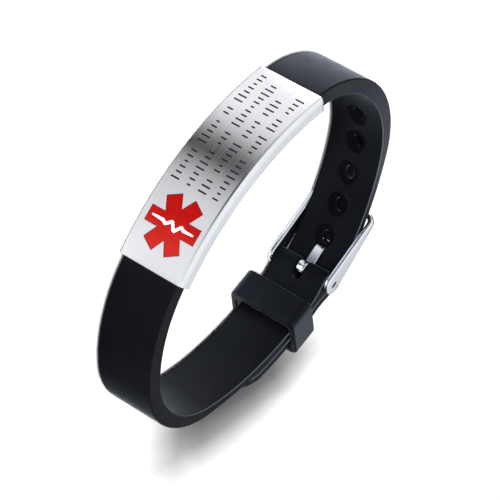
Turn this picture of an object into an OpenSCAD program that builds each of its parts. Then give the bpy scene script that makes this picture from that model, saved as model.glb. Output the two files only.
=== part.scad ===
// Buckled silicone bracelet with a curved engraved plate, lying on its side.
// The strap's width runs along Z, the plate faces -Y, and the buckle is at the back, towards +Y.

/* [Strap] */
// Width of the strap
strap_w = 12; // [9:0.5:16]
// Thickness of the strap beside the plate
strap_t = 3; // [2.6:0.1:3.6]
// Thickness of the strap's two ends
end_t = 1.45; // [1.1:0.05:1.8]
// Length of full thickness on the buckle side of the plate
full_buckle_side = 27; // [15:1:32]
// Length of full thickness on the tail side of the plate
full_tail_side = 18; // [10:1:24]
// Length of each taper from full thickness to the end's thickness
taper_len = 25; // [16:1:28]
// Length of the loose tail, from the hinge pin to its tip
tail_len = 27; // [18:1:30]
// How far the tail's tip stands off the strap that it lies on
tip_lift = 0.5; // [0.1:0.1:1]

/* [Loop] */
// Distance from the plate's face to the hinge pin
loop_depth = 46.8; // [43:0.2:52]
// Distance that the hinge pin sits off the plate's middle
pin_offset = 4.4; // [2:0.2:7]
// Angle of the strap at the hinge pin
pin_angle = 7.4; // [2:0.2:12]
// Radius of the gently curved base, from the hinge pin
base_r = 50; // [42:1:65]
// Angle that the base turns through
base_turn = 40; // [34:1:44]
// Radius of the bend where the strap passes over the hinge
wrap_r = 8; // [5:0.5:12]
// Angle of the bend where the strap passes over the hinge
wrap_turn = 12; // [6:1:18]
// Share between the two bends on the buckle side
buckle_side_share = 1.26; // [0.8:0.02:1.8]
// Share between the two bends on the tail side
tail_side_share = 0.5; // [0.35:0.01:0.8]

/* [Plate] */
// Length of the plate along its curved face
plate_len = 42.3; // [34:0.5:46]
// Width of the plate
plate_w = 14; // [12:0.5:18]
// Radius of the plate's curved face
plate_r = 53; // [46:1:70]
// Thickness of the plate's face
face_t = 0.8; // [0.6:0.05:1]
// Height of the plate's side walls
plate_h = 3; // [2.8:0.1:3.6]
// Length of the lips that turn in under the strap
lip_len = 2.2; // [1.2:0.1:3]
// Thickness of the lips
lip_t = 0.7; // [0.5:0.05:0.8]
// How far the plate's face stands above the strap
plate_proud = 0.25; // [0.1:0.05:0.5]
// Rounding of the plate's long edges
plate_edge = 0.8; // [0.3:0.05:0.8]

/* [Emblem] */
// Length of each bar of the six-armed figure
emblem_d = 10.8; // [8:0.2:11.4]
// Width of each bar
emblem_bar_w = 2.9; // [2:0.1:3.4]
// Distance from the plate's end to the figure's middle
emblem_from_end = 8.5; // [7:0.25:12]
// Depth of the enamel
enamel_t = 0.3; // [0.2:0.05:0.4]
// Width of the white pulse line
pulse_w = 0.6; // [0.4:0.05:0.8]
// Height of the pulse line's highest peak
pulse_h = 1.9; // [1:0.1:2.4]

/* [Buckle] */
// Thickness of the buckle's side arms
arm_t = 1; // [0.8:0.1:1.4]
// Radius of the arms' rounded hinge ends
hinge_r = 2; // [1.7:0.1:2.3]
// Thickness of the buckle's cross bar
bar_t = 1.2; // [0.9:0.1:1.6]
// Distance along the strap from the hinge pin to the cross bar
bar_reach = 14; // [11:0.2:15]
// Rounding of the buckle's two outer corners
corner_r = 2; // [1.6:0.1:3]
// Diameter of the hinge pin
pin_d = 1.5; // [1.2:0.1:1.8]
// Length of the pin's flat tip
tip_blade_l = 1.3; // [1:0.1:1.5]
// Thickness of the pin's flat tip
tip_blade_t = 0.45; // [0.3:0.05:0.6]
// Radius of the strap's rounded end around the pin
fold_r = 1.6; // [1.4:0.05:1.8]
// Length over which the rounded end thins to the strap
fold_len = 5; // [4:0.5:7]
// Width of the tongue
tongue_w = 1.95; // [1.6:0.05:2.4]
// Thickness of the tongue
tongue_t = 0.75; // [0.6:0.05:0.9]
// Outside diameter of the tongue's ring
ring_d = 2.9; // [2.7:0.1:3.1]
// Length of the tongue beyond the cross bar
tongue_over = 0.5; // [0.2:0.1:1]
// Distance from the hinge pin to where the tongue dips into its hole
dip_at = 5.3; // [4.5:0.1:6]
// Length over which the tongue dips through the strap
dip_len = 2.7; // [2.2:0.1:3.4]
// How far the tongue dips
dip = 0.9; // [0.5:0.05:1.2]
// Length of the slot for the tongue's ring
ring_slot_l = 3.6; // [3.4:0.1:4.6]

/* [Holes] */
// Diameter of the strap's holes
hole_d = 2.4; // [2.2:0.1:3]
// Diameter of the shallow recess round each hole on the wearer's side
hole_rim_d = 4.3; // [3.4:0.1:4.6]
// Depth of the shallow recess
hole_rim_h = 0.3; // [0.1:0.05:0.4]
// Distance between the holes
hole_pitch = 6.5; // [5.5:0.1:8]
// Number of holes from the tongue's towards the plate
holes_up = 4; // [2:1:4]
// Number of holes in the loose tail
holes_tail = 4; // [0:1:5]

/* [Keeper] */
// Length of the keeper along the strap
keeper_len = 5.6; // [4:0.1:7]
// Wall thickness of the keeper
keeper_wall = 1.4; // [1:0.1:1.8]
// Distance along the strap from the hinge pin to the keeper's middle
keeper_at = 10; // [8.5:0.5:14]
// Height of the gap between the keeper and the strap inside it
keeper_gap = 1.9; // [1:0.1:2.4]
// Lean of the keeper's two ends, away from square to the strap
keeper_lean = 14; // [0:1:16]
// Rounding of the keeper's outer corners
keeper_corner = 1.6; // [1.2:0.1:2]

/* [Fits] */
// Gap between the strap and hard pieces that it touches
fit_gap = 0.1; // [0.05:0.05:0.2]
// Gap between the two layers of strap
layer_gap = 0.15; // [0.1:0.05:0.3]
// Gap around each enamel inlay
inlay_gap = 0.03; // [0.02:0.01:0.06]

/* [Hidden] */
$fn = 64;
// Small overlap of cutting bodies past the faces that they cut
cut = 1;
// Spacing of the strap's sections
section_step = 1.2;
// Steps along the plate's arc, and pieces in a full turn of it
plate_steps = 40;
plate_fn = 360;
// Pieces in a full turn of small roundings
small_fn = 32;
// Distance from where the tongue crosses the strap to the middle of its hole
hole_ahead = 0.45;
// Rounding of the keeper's opening
opening_r = 0.55;
// Gap between the strap and the middle of the cross bar, which it crosses at a slant
bar_gap = 0.55;
// Share of the round ends' radius at which the arm's straight edges meet them
link_share = 0.99;

// Turn of a place whose route is followed the other way
half_turn = 180;

// A place on the route is [x, y, heading], and a positive sweep turns left
function side(a) = [-sin(a), cos(a)];
function ahead(a) = [cos(a), sin(a)];
function xy(p) = [p[0], p[1]];
function turned(p, r, sweep) =
    let(s = sweep < 0 ? -1 : 1, c = xy(p) + s * r * side(p[2]), q = c - s * r * side(p[2] + sweep))
    [q[0], q[1], p[2] + sweep];
function arc_steps(r, sweep) = max(2, ceil(abs(sweep) * PI / 180 * r / section_step));
function arc_run(p, r, sweep) =
    let(n = arc_steps(r, sweep)) [for (i = [1:n]) turned(p, r, sweep * i / n)];
function last(list) = list[len(list) - 1];

// Two arcs that lead smoothly from place p to place q, with share setting which of them is longer
function wrap_angle(a) = a - 360 * floor((a + 180) / 360);
function blend_run(p, q, share) =
    let(
        u = ahead(p[2]),
        v = ahead(q[2]),
        d = xy(q) - xy(p),
        a = 2 * share * (u * v - 1),
        b = -2 * (share * (d * u) + d * v),
        root = sqrt(b * b - 4 * a * (d * d)),
        reach = max((-b + root) / (2 * a), (-b - root) / (2 * a)),
        start = xy(p) + share * reach * u,
        finish = xy(q) - reach * v,
        joint = (start + finish * share) / (1 + share),
        heading = atan2(finish[1] - start[1], finish[0] - start[0]),
        turn_1 = wrap_angle(heading - p[2]),
        turn_2 = wrap_angle(q[2] - heading),
        r_1 = norm(joint - xy(p)) / (2 * abs(sin(turn_1 / 2))),
        r_2 = norm(xy(q) - joint) / (2 * abs(sin(turn_2 / 2)))
    )
    concat(arc_run(p, r_1, turn_1), arc_run([joint[0], joint[1], p[2] + turn_1], r_2, turn_2));

// Lengths along a route, one for each place on it
function lengths(run, i = 0, sum = 0, done = []) =
    i >= len(run) ? done :
    let(now = i == 0 ? 0 : sum + norm(xy(run[i]) - xy(run[i - 1])))
    lengths(run, i + 1, now, concat(done, [now]));
function ease(x) = let(k = min(1, max(0, x))) k * k * (3 - 2 * k);
// Place at a given length along a route
function place_at(run, dist, s) =
    let(
        i = min(len(run) - 2, max(0, len([for (d = dist) if (d <= s) 1]) - 1)),
        k = (s - dist[i]) / (dist[i + 1] - dist[i])
    )
    run[i] * (1 - k) + run[i + 1] * k;

// The plate's arc, seen along Z, has its middle at the origin and its centre on the Y axis
plate_half = plate_len / plate_r * 90 / PI;
mid_r = plate_r - plate_proud - strap_t / 2;
function on_plate(angle) = [mid_r * sin(angle), plate_r - mid_r * cos(angle), half_turn + angle];
plate_run = [for (i = [0:plate_steps]) on_plate(plate_half * (2 * i / plate_steps - 1))];
plate_in_w = strap_w + 2 * fit_gap;
lip_reach = lip_len + fit_gap - (plate_in_w - strap_w) / 2;

// Buckle side of the strap: from the hinge pin round to the plate
pin = [-pin_offset, loop_depth, pin_angle];
base_run = concat([pin], arc_run(pin, base_r, -base_turn));
buckle_run = concat(base_run, blend_run(last(base_run), on_plate(plate_half), buckle_side_share));
buckle_dist = lengths(buckle_run);
buckle_len = last(buckle_dist);
function fold_share(s) = 1 - ease(s / fold_len);
function thin_share(from_plate, full) = ease((from_plate - full) / taper_len);
function buckle_t(s) =
    strap_t + (end_t - strap_t) * thin_share(buckle_len - s, full_buckle_side)
    + (2 * fold_r - end_t) * fold_share(s);

// The tail lies on the outside of the buckle side
function lay(s) = buckle_t(s) / 2 + layer_gap + end_t / 2 + tip_lift * pow(s / tail_len, 3);
function tail_place(s) =
    let(p = place_at(buckle_run, buckle_dist, s), q = xy(p) + lay(s) * side(p[2])) [q[0], q[1], p[2] + half_turn];
tail_n = ceil(tail_len / section_step);
tail_run = [for (i = [tail_n:-1:0]) tail_place(tail_len * i / tail_n)];
hinge_place = last(tail_run);
wrap_run = arc_run(hinge_place, wrap_r, wrap_turn);
plate_tail_place = on_plate(-plate_half) + [0, 0, half_turn];
over_run = concat([hinge_place], wrap_run, blend_run(last(wrap_run), plate_tail_place, tail_side_share));
over_dist = lengths(over_run);
over_len = last(over_dist);
function over_t(s) = strap_t + (end_t - strap_t) * thin_share(over_len - s, full_tail_side);

// Buckle: the cross bar lies just outside the strap
bar_place = place_at(over_run, over_dist, bar_reach);
bar_c = xy(bar_place) - (over_t(bar_reach) / 2 + bar_gap + bar_t / 2) * side(bar_place[2]);
frame_angle = atan2(bar_c[1] - pin[1], bar_c[0] - pin[0]);
frame_reach = norm(bar_c - xy(pin));
frame_inner_w = strap_w + 2 * fit_gap;
frame_w = frame_inner_w + 2 * arm_t;

// Tongue: its line runs from beside the pin to the outside of the cross bar
tongue_from = (ring_d - tongue_t) / 2;
tongue_to = bar_t / 2 + fit_gap + tongue_t / 2;
tongue_len = frame_reach + bar_t / 2 + tongue_over;
tongue_lean = atan2(tongue_to - tongue_from, frame_reach);
function tongue_side(p) =
    let(d = xy(p) - xy(pin), along = d * ahead(frame_angle), off = -(d * side(frame_angle)))
    off - tongue_from - along * tan(tongue_lean);
// Tongue's middle line, seen along Z from the pin: straight, down through the strap, then up to the cross bar
tongue_rise = dip / (frame_reach - dip_at - dip_len);
tongue_line = [
    // along, out, heading
    [0, 0, 0],
    [dip_at, 0, -atan(dip / dip_len) / 2],
    [dip_at + dip_len, -dip, (atan(tongue_rise) - atan(dip / dip_len)) / 2],
    [tongue_len, tongue_rise * (tongue_len - frame_reach), atan(tongue_rise)]
];
tongue_cross = len([for (p = over_run) if (tongue_side(p) > 0 && norm(xy(p) - xy(pin)) < frame_reach) 1]);
hole_at = over_dist[max(1, tongue_cross)] - section_step / 2 + hole_ahead;

// Keeper: a band round both layers, with the gap on the wearer's side
keeper_place = place_at(buckle_run, buckle_dist, keeper_at);
keeper_in_h = keeper_gap + buckle_t(keeper_at) + layer_gap + end_t + 2 * layer_gap;
keeper_h = keeper_in_h + 2 * keeper_wall;
keeper_in_w = strap_w + 3 * fit_gap;
keeper_w = keeper_in_w + 2 * keeper_wall;
keeper_mid = (keeper_h / 2 - keeper_wall - keeper_gap - buckle_t(keeper_at) / 2);
keeper_c = xy(keeper_place) + keeper_mid * side(keeper_place[2]);
keeper_angle = keeper_place[2];
keeper_shift = keeper_h / 2 * tan(keeper_lean);

// Outline points on either side of a route
function edge(run, thick, way) =
    [for (i = [0:len(run) - 1]) xy(run[i]) + way * thick[i] / 2 * side(run[i][2])];
function band(run, thick) =
    let(near = edge(run, thick, 1), far = edge(run, thick, -1))
    concat(near, [for (i = [len(far) - 1:-1:0]) far[i]]);
buckle_thick = [for (s = buckle_dist) buckle_t(s)];
over_thick = [for (s = over_dist) over_t(s)];
tail_thick = [for (p = tail_run) end_t];
plate_thick = [for (p = plate_run) strap_t];

// The whole bracelet is centred on X and Y and rests on Z = 0
all_edges = concat(
    edge(buckle_run, buckle_thick, 1),
    edge(over_run, over_thick, -1)
);
keeper_back = keeper_c[1] + keeper_h / 2 * cos(keeper_angle)
    + (keeper_len / 2 - keeper_shift) * abs(sin(keeper_angle));
mid_x = (min([for (p = all_edges) p[0]]) + max([for (p = all_edges) p[0]])) / 2;
mid_y = keeper_back / 2;
widest = max(plate_w, frame_w, keeper_w);

module placed() {
    translate([-mid_x, -mid_y, widest / 2])
        children();
}

module slab(points, width) {
    linear_extrude(height = width, center = true)
        polygon(points);
}

// Rounded bar along Z
module rod(c, d, length) {
    translate([c[0], c[1], 0])
        cylinder(d = d, h = length, center = true);
}

// Puts a body drawn round the plate's arc centre where the plate is
module on_arc() {
    translate([0, plate_r, 0])
        rotate([0, 0, -90])
            children();
}

// Ring of the plate's arc between two radii and two heights
module arc_ring(r_in, r_out, z_low, z_high, half_angle) {
    on_arc()
        rotate([0, 0, -half_angle])
            rotate_extrude(angle = 2 * half_angle, $fn = plate_fn)
                translate([r_in, z_low])
                    square([r_out - r_in, z_high - z_low]);
}

// Round hole through one layer of strap, at a place on its route where it is t thick
module strap_hole(p, t, over, recess_d) {
    translate([p[0], p[1], 0])
        rotate([0, 0, p[2]])
            rotate([90, 0, 0])
                translate([0, 0, -t / 2 - over]) {
                    cylinder(d = hole_d, h = t + 2 * over);
                    cylinder(d = recess_d, h = hole_rim_h + over);
                }
}

// Trims the tail to a round end, as wide as the strap
module tail_trim() {
    tip = tail_run[0];
    round_l = strap_w / 2;
    trim_t = 6 * end_t;
    translate([tip[0], tip[1], 0])
        rotate([0, 0, tip[2]])
            rotate([90, 0, 0])
                linear_extrude(height = trim_t, center = true)
                    difference() {
                        translate([-cut, -strap_w])
                            square([round_l + cut, 2 * strap_w]);
                        translate([round_l, 0])
                            circle(d = strap_w);
                    }
}

// Tongue's flat bar, or with more width and thickness the channel that clears it
module tongue_bar(width, t) {
    translate([pin[0], pin[1], 0])
        rotate([0, 0, frame_angle])
            translate([0, -tongue_from, 0])
                rotate([0, 0, -tongue_lean])
                    slab(band(tongue_line, [for (p = tongue_line) t]), width);
}

module strap() {
    color([0.07, 0.08, 0.09])
        placed()
            difference() {
                union() {
                    slab(band(buckle_run, buckle_thick), strap_w);
                    slab(band(plate_run, plate_thick), strap_w);
                    slab(band(over_run, over_thick), strap_w);
                    rod(pin, 2 * fold_r, strap_w);
                    difference() {
                        slab(band(tail_run, tail_thick), strap_w);
                        tail_trim();
                    }
                }
                seat_cuts();
                rod(pin, pin_d + 2 * fit_gap, strap_w + cut);
                for (i = [-holes_tail:holes_up])
                    hole_cut(hole_at + i * hole_pitch);
                tongue_bar(tongue_w + 2 * fit_gap, tongue_t + 2 * fit_gap);
                ring_slot();
            }
}

// Hole at a length along the strap, counted from the hinge, and without its recess right over the hinge
module hole_cut(s) {
    over = (s > fold_len ? cut / 2 : 0.8 * layer_gap);
    if (s > 0)
        strap_hole(place_at(over_run, over_dist, s), over_t(s), over, s > fold_len ? hole_rim_d : hole_d / 2);
    else if (s > -tail_len + hole_rim_d)
        strap_hole(tail_place(-s), end_t, over, hole_rim_d);
}

// Slot through the rounded end for the tongue's ring
module ring_slot() {
    slot_w = tongue_w + 4 * fit_gap;
    slot_l = ring_slot_l + 2 * cut - slot_w / 2;
    slot_h = 2 * fold_r + 2 * layer_gap;
    translate([pin[0], pin[1], 0])
        rotate([0, 0, pin[2]])
            translate([ring_slot_l / 2 - fold_r - cut, 0, 0]) {
                cube([slot_l, slot_h, slot_w], center = true);
                translate([slot_l / 2, 0, 0])
                    rotate([90, 0, 0])
                        cylinder(d = slot_w, h = slot_h, center = true);
            }
}

// Recess under the plate's face and the two grooves for its lips
module seat_cuts() {
    groove_z = strap_w / 2 - lip_reach;
    seat_half = plate_half + fit_gap / plate_r * 180 / PI;
    arc_ring(plate_r - face_t - fit_gap, plate_r + cut, -strap_w, strap_w, seat_half);
    for (k = [-1, 1])
        arc_ring(plate_r - plate_h - strap_t, plate_r - plate_h + lip_t + fit_gap,
            k > 0 ? groove_z : -strap_w, k > 0 ? strap_w : -groove_z, seat_half);
}

module id_plate() {
    color([0.8, 0.81, 0.83])
        placed()
            difference() {
                on_arc()
                    rotate([0, 0, -plate_half])
                        rotate_extrude(angle = 2 * plate_half, $fn = plate_fn)
                            plate_section();
                emblem_body(emblem_d + 2 * inlay_gap, emblem_bar_w + 2 * inlay_gap, enamel_t + inlay_gap);
            }
}

// Section of the plate: a channel open towards the wearer, with rounded outer edges
module plate_section() {
    difference() {
        union() {
            translate([plate_r - plate_h, -plate_w / 2])
                square([plate_h - plate_edge, plate_w]);
            translate([plate_r - plate_edge - face_t / 4, plate_edge - plate_w / 2])
                square([plate_edge + face_t / 4, plate_w - 2 * plate_edge]);
            for (k = [-1, 1])
                translate([plate_r - plate_edge, k * (plate_w / 2 - plate_edge)])
                    circle(r = plate_edge, $fn = small_fn);
        }
        translate([plate_r - plate_h + lip_t, -plate_in_w / 2])
            square([plate_h - lip_t - face_t, plate_in_w]);
        translate([plate_r - plate_h - cut, lip_len - plate_in_w / 2])
            square([plate_h - face_t - cut / 2, plate_in_w - 2 * lip_len]);
    }
}

// Outline of the six-armed figure
module six_arms(d, w) {
    for (i = [0:2])
        rotate(60 * i)
            square([w, d], center = true);
}

// Outline of the pulse line that crosses the figure along the strap's width, as shares of its size
pulse_shape = [
    // along, across
    [-0.42, 0], [-0.2, 0], [-0.13, 0.45], [-0.03, -0.55], [0.07, 1], [0.16, -0.4], [0.22, 0], [0.42, 0]
];
module pulse_outline(w) {
    points = [for (p = pulse_shape) [p[1] * pulse_h / 2, p[0] * emblem_d]];
    for (i = [0:len(points) - 2]) {
        a = points[i];
        b = points[i + 1];
        translate(a)
            rotate(atan2(b[1] - a[1], b[0] - a[0]))
                translate([0, -w / 2])
                    square([norm(b - a), w]);
        translate(a)
            circle(d = w, $fn = small_fn);
    }
    translate(last(points))
        circle(d = w, $fn = small_fn);
}

// Carries a flat outline to the plate's face, as a shell of the given depth
module on_face(depth) {
    angle = plate_half - emblem_from_end / plate_r * 180 / PI;
    intersection() {
        translate([0, plate_r, 0])
            rotate([0, 0, angle])
                rotate([90, 0, 0])
                    linear_extrude(height = plate_r + cut)
                        children();
        arc_ring(plate_r - depth, plate_r + (depth > enamel_t ? cut : 0), -plate_w, plate_w, plate_half);
    }
}

module emblem_body(d, w, depth) {
    on_face(depth)
        six_arms(d, w);
}

module emblem() {
    color([0.8, 0.05, 0.04])
        placed()
            on_face(enamel_t)
                difference() {
                    six_arms(emblem_d, emblem_bar_w);
                    pulse_outline(pulse_w + 2 * inlay_gap);
                }
}

module pulse_line() {
    color([0.95, 0.95, 0.95])
        placed()
            on_face(enamel_t)
                pulse_outline(pulse_w);
}

// Rounded rectangle along X and Y
module round_rect(w, h, r) {
    union() {
        square([w - 2 * r, h], center = true);
        square([w, h - 2 * r], center = true);
        for (kx = [-1, 1])
            for (ky = [-1, 1])
                translate([kx * (w / 2 - r), ky * (h / 2 - r)])
                    circle(r = r);
    }
}

// Side view of the keeper: its ends lean, so that its outer side is further from the hinge
module keeper_sides() {
    half = keeper_len / 2;
    slab([
        [-half - keeper_shift, -keeper_h / 2],
        [half - keeper_shift, -keeper_h / 2],
        [half + keeper_shift, keeper_h / 2],
        [keeper_shift - half, keeper_h / 2]
    ], keeper_w + cut);
}

module keeper() {
    color([0.09, 0.1, 0.11])
        placed()
            translate([keeper_c[0], keeper_c[1], 0])
                rotate([0, 0, keeper_angle])
                    intersection() {
                        rotate([0, 90, 0])
                            linear_extrude(height = keeper_len + 2 * keeper_shift + cut, center = true)
                                difference() {
                                    round_rect(keeper_w, keeper_h, keeper_corner);
                                    round_rect(keeper_in_w, keeper_in_h, opening_r);
                                }
                        keeper_sides();
                    }
}

// Flat bar between two round ends of different radius, seen along Z
function link_outline(length, r_1, r_2) =
    let(a = acos((r_1 - r_2) / length))
    [r_1 * ahead(a), [length, 0] + r_2 * ahead(a), [length, 0] + r_2 * ahead(-a), r_1 * ahead(-a)];

module arm_profile() {
    translate([pin[0], pin[1], 0])
        rotate([0, 0, frame_angle]) {
            slab(link_outline(frame_reach, hinge_r * link_share, bar_t / 2 * link_share), frame_w);
            rod([0, 0], 2 * hinge_r, frame_w);
            rod([frame_reach, 0], bar_t, frame_w);
        }
}

// Outline of the buckle seen from outside: a U with rounded corners
module frame_outline() {
    far = frame_reach + bar_t / 2;
    difference() {
        translate([far / 2 - hinge_r, 0])
            round_rect(far + 2 * hinge_r, frame_w, corner_r);
        translate([(far - bar_t) / 2 - hinge_r - cut, 0])
            round_rect(far - bar_t + 2 * hinge_r + 2 * cut, frame_inner_w, corner_r - arm_t);
    }
}

module buckle_frame() {
    color([0.78, 0.79, 0.81])
        placed()
            difference() {
                intersection() {
                    arm_profile();
                    translate([pin[0], pin[1], 0])
                        rotate([0, 0, frame_angle])
                            rotate([90, 0, 0])
                                linear_extrude(height = 4 * hinge_r, center = true)
                                    frame_outline();
                }
                pin_blade(tip_blade_l + 2 * fit_gap, tip_blade_t + 2 * fit_gap, frame_w + cut);
            }
}

// Flat ended tip of the pin, lying along the arms
module pin_blade(l, t, length) {
    translate([pin[0], pin[1], 0])
        rotate([0, 0, frame_angle]) {
            cube([l - t, t, length], center = true);
            for (k = [-1, 1])
                rod([k * (l - t) / 2, 0], t, length);
        }
}

module hinge_pin() {
    color([0.7, 0.7, 0.72])
        placed() {
            rod(pin, pin_d, strap_w);
            pin_blade(tip_blade_l, tip_blade_t, frame_w - arm_t);
        }
}

module tongue() {
    color([0.8, 0.81, 0.83])
        placed()
            difference() {
                union() {
                    rod(pin, ring_d, tongue_w);
                    tongue_bar(tongue_w, tongue_t);
                }
                rod(pin, pin_d + 2 * fit_gap, tongue_w + cut);
            }
}

strap();
id_plate();
emblem();
pulse_line();
keeper();
buckle_frame();
hinge_pin();
tongue();
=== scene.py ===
"""Dressed silicone bracelet: strap, curved steel plate with enamel star, keeper and buckle."""

import math

import bmesh
import bpy
import numpy as np
from mathutils import Matrix, Vector


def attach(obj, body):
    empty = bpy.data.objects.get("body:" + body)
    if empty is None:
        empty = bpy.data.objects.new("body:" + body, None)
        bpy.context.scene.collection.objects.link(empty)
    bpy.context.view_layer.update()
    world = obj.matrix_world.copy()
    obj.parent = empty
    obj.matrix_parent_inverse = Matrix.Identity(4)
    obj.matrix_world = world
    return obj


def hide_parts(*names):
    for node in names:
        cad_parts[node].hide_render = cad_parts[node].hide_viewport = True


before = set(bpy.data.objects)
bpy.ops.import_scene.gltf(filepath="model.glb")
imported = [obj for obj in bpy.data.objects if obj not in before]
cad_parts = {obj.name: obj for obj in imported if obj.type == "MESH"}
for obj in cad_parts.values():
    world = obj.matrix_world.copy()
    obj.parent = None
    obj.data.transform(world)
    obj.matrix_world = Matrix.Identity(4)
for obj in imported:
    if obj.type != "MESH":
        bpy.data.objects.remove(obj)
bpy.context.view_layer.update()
scene = bpy.context.scene

# Lengths below are in millimetres, and meshes are written in metres
MM = 0.001
SHIFT = np.array([-2.43515, -25.6149, 7.55])

# Strap
STRAP_W, STRAP_T, END_T = 12.0, 3.0, 1.45
FULL_BUCKLE_SIDE, FULL_TAIL_SIDE, TAPER = 27.0, 18.0, 25.0
TAIL, TIP_LIFT, LAYER_GAP, FIT = 27.0, 0.5, 0.15, 0.1
FOLD_R, FOLD_LEN = 1.6, 5.0
PIN_BORE_R, RING_SLOT_L, RING_SLOT_W, RING_SLOT_BACK = 0.85, 5.6, 2.35, 0.2
PIN = (-4.4, 46.8, 7.4)
BASE_R, BASE_TURN, WRAP_R, WRAP_TURN = 50.0, 40.0, 8.0, 12.0
BUCKLE_SHARE, TAIL_SHARE = 1.26, 0.5
STRAP_EDGE = 0.35
HOLE_AT, HOLE_PITCH, HOLE_R, RECESS_R, RECESS_H = 7.4625, 6.5, 1.2, 2.15, 0.3
HOLES_UP, HOLES_TAIL = 4, 4
STEP = 0.45

# Plate
PLATE_LEN, PLATE_W, PLATE_R, FACE_T, PLATE_H = 42.3, 14.0, 53.0, 0.8, 3.0
LIP_LEN, LIP_T, PLATE_PROUD = 2.2, 0.7, 0.25
MID_R = PLATE_R - PLATE_PROUD - STRAP_T / 2
HALF_DEG = math.degrees(PLATE_LEN / PLATE_R / 2)
STAR_D, STAR_W, STAR_AT, ENAMEL_T = 10.8, 2.9, PLATE_LEN / 2 - 8.5, 0.3

# Buckle
BAR_C = np.array([-18.3715, 44.885])
HINGE_R, BAR_T, ARM_T, ARM_MID, CORNER, CORNER_LEN = 2.0, 1.2, 1.0, 6.6, 1.5, 1.48
PIN_D, RING_D, TONGUE_W, TONGUE_T = 1.5, 2.9, 1.95, 0.75
RING_EDGE, RING_CROWN = 0.29, 0.14
DIP_AT, DIP_LEN, DIP = 4.7, 2.0, 1.25
FRAME_ANGLE = math.degrees(math.atan2(BAR_C[1] - PIN[1], BAR_C[0] - PIN[0]))
FRAME_REACH = float(np.hypot(BAR_C[0] - PIN[0], BAR_C[1] - PIN[1]))

# Keeper
KEEPER_C, KEEPER_ANGLE = np.array([5.5791, 47.0877]), -4.05941
KEEPER_W, KEEPER_H, KEEPER_LEN, KEEPER_WALL, KEEPER_LEAN, KEEPER_EDGE = 15.1, 8.05, 5.6, 1.4, 14.0, 0.42
KEEPER_OUTER_R, KEEPER_INNER_R = (1.6, 1.6, 1.7, 1.7), (0.55, 0.55, 1.15, 1.15)

# Angles of a quarter turn
QUARTER = [math.radians(7.5 * k) for k in range(1, 13)]


# ---- route of the strap
def ahead(deg):
    return np.array([math.cos(math.radians(deg)), math.sin(math.radians(deg))])


def side(deg):
    return np.array([-math.sin(math.radians(deg)), math.cos(math.radians(deg))])


def turned(place, radius, sweep):
    """The place reached by an arc; a positive sweep turns left."""
    s = -1 if sweep < 0 else 1
    here = np.array(place[:2])
    to = here + s * radius * side(place[2]) - s * radius * side(place[2] + sweep)
    return (to[0], to[1], place[2] + sweep)


def arc_run(place, radius, sweep):
    n = max(2, math.ceil(abs(math.radians(sweep)) * radius / STEP))
    return [turned(place, radius, sweep * i / n) for i in range(1, n + 1)]


def wrapped(deg):
    return deg - 360 * math.floor((deg + 180) / 360)


def blend_run(p, q, share):
    """Two arcs that lead smoothly from place p to place q."""
    u, v = ahead(p[2]), ahead(q[2])
    d = np.array(q[:2]) - np.array(p[:2])
    a = 2 * share * (u @ v - 1)
    b = -2 * (share * (d @ u) + d @ v)
    root = math.sqrt(b * b - 4 * a * (d @ d))
    reach = max((-b + root) / (2 * a), (-b - root) / (2 * a))
    start = np.array(p[:2]) + share * reach * u
    end = np.array(q[:2]) - reach * v
    joint = (start + end * share) / (1 + share)
    heading = math.degrees(math.atan2(end[1] - start[1], end[0] - start[0]))
    turn_1, turn_2 = wrapped(heading - p[2]), wrapped(q[2] - heading)
    r_1 = np.linalg.norm(joint - p[:2]) / (2 * abs(math.sin(math.radians(turn_1 / 2))))
    r_2 = np.linalg.norm(np.array(q[:2]) - joint) / (2 * abs(math.sin(math.radians(turn_2 / 2))))
    return arc_run(p, r_1, turn_1) + arc_run((joint[0], joint[1], p[2] + turn_1), r_2, turn_2)


def lengths(run):
    sums = [0.0]
    for a, b in zip(run, run[1:]):
        sums.append(sums[-1] + math.hypot(b[0] - a[0], b[1] - a[1]))
    return sums


def place_at(run, dist, s):
    i = min(len(run) - 2, max(0, int(np.searchsorted(dist, s, side="right")) - 1))
    k = (s - dist[i]) / (dist[i + 1] - dist[i])
    return tuple(np.array(run[i]) * (1 - k) + np.array(run[i + 1]) * k)


def ease(x):
    k = min(1.0, max(0.0, x))
    return k * k * (3 - 2 * k)


def on_plate(deg):
    r = math.radians(deg)
    return (MID_R * math.sin(r), PLATE_R - MID_R * math.cos(r), 180 + deg)


base_run = [PIN] + arc_run(PIN, BASE_R, -BASE_TURN)
buckle_run = base_run + blend_run(base_run[-1], on_plate(HALF_DEG), BUCKLE_SHARE)
buckle_dist = lengths(buckle_run)


def buckle_t(s):
    thin = ease((buckle_dist[-1] - s - FULL_BUCKLE_SIDE) / TAPER)
    return STRAP_T + (END_T - STRAP_T) * thin + (2 * FOLD_R - END_T) * (1 - ease(s / FOLD_LEN))


def tail_place(s):
    """Place on the loose tail, s from the hinge, heading towards its tip."""
    p = place_at(buckle_run, buckle_dist, s)
    lay = buckle_t(s) / 2 + LAYER_GAP + END_T / 2 + TIP_LIFT * (s / TAIL) ** 3
    q = np.array(p[:2]) + lay * side(p[2])
    return (q[0], q[1], p[2])


hinge_place = tail_place(0)
hinge_back = (hinge_place[0], hinge_place[1], hinge_place[2] + 180)
wrap_run = arc_run(hinge_back, WRAP_R, WRAP_TURN)
plate_tail = on_plate(-HALF_DEG)
plate_tail = (plate_tail[0], plate_tail[1], plate_tail[2] + 180 - 360)
over_run = [hinge_back] + wrap_run + blend_run(wrap_run[-1], plate_tail, TAIL_SHARE)
over_dist = lengths(over_run)


def over_t(s):
    return STRAP_T + (END_T - STRAP_T) * ease((over_dist[-1] - s - FULL_TAIL_SIDE) / TAPER)


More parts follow.
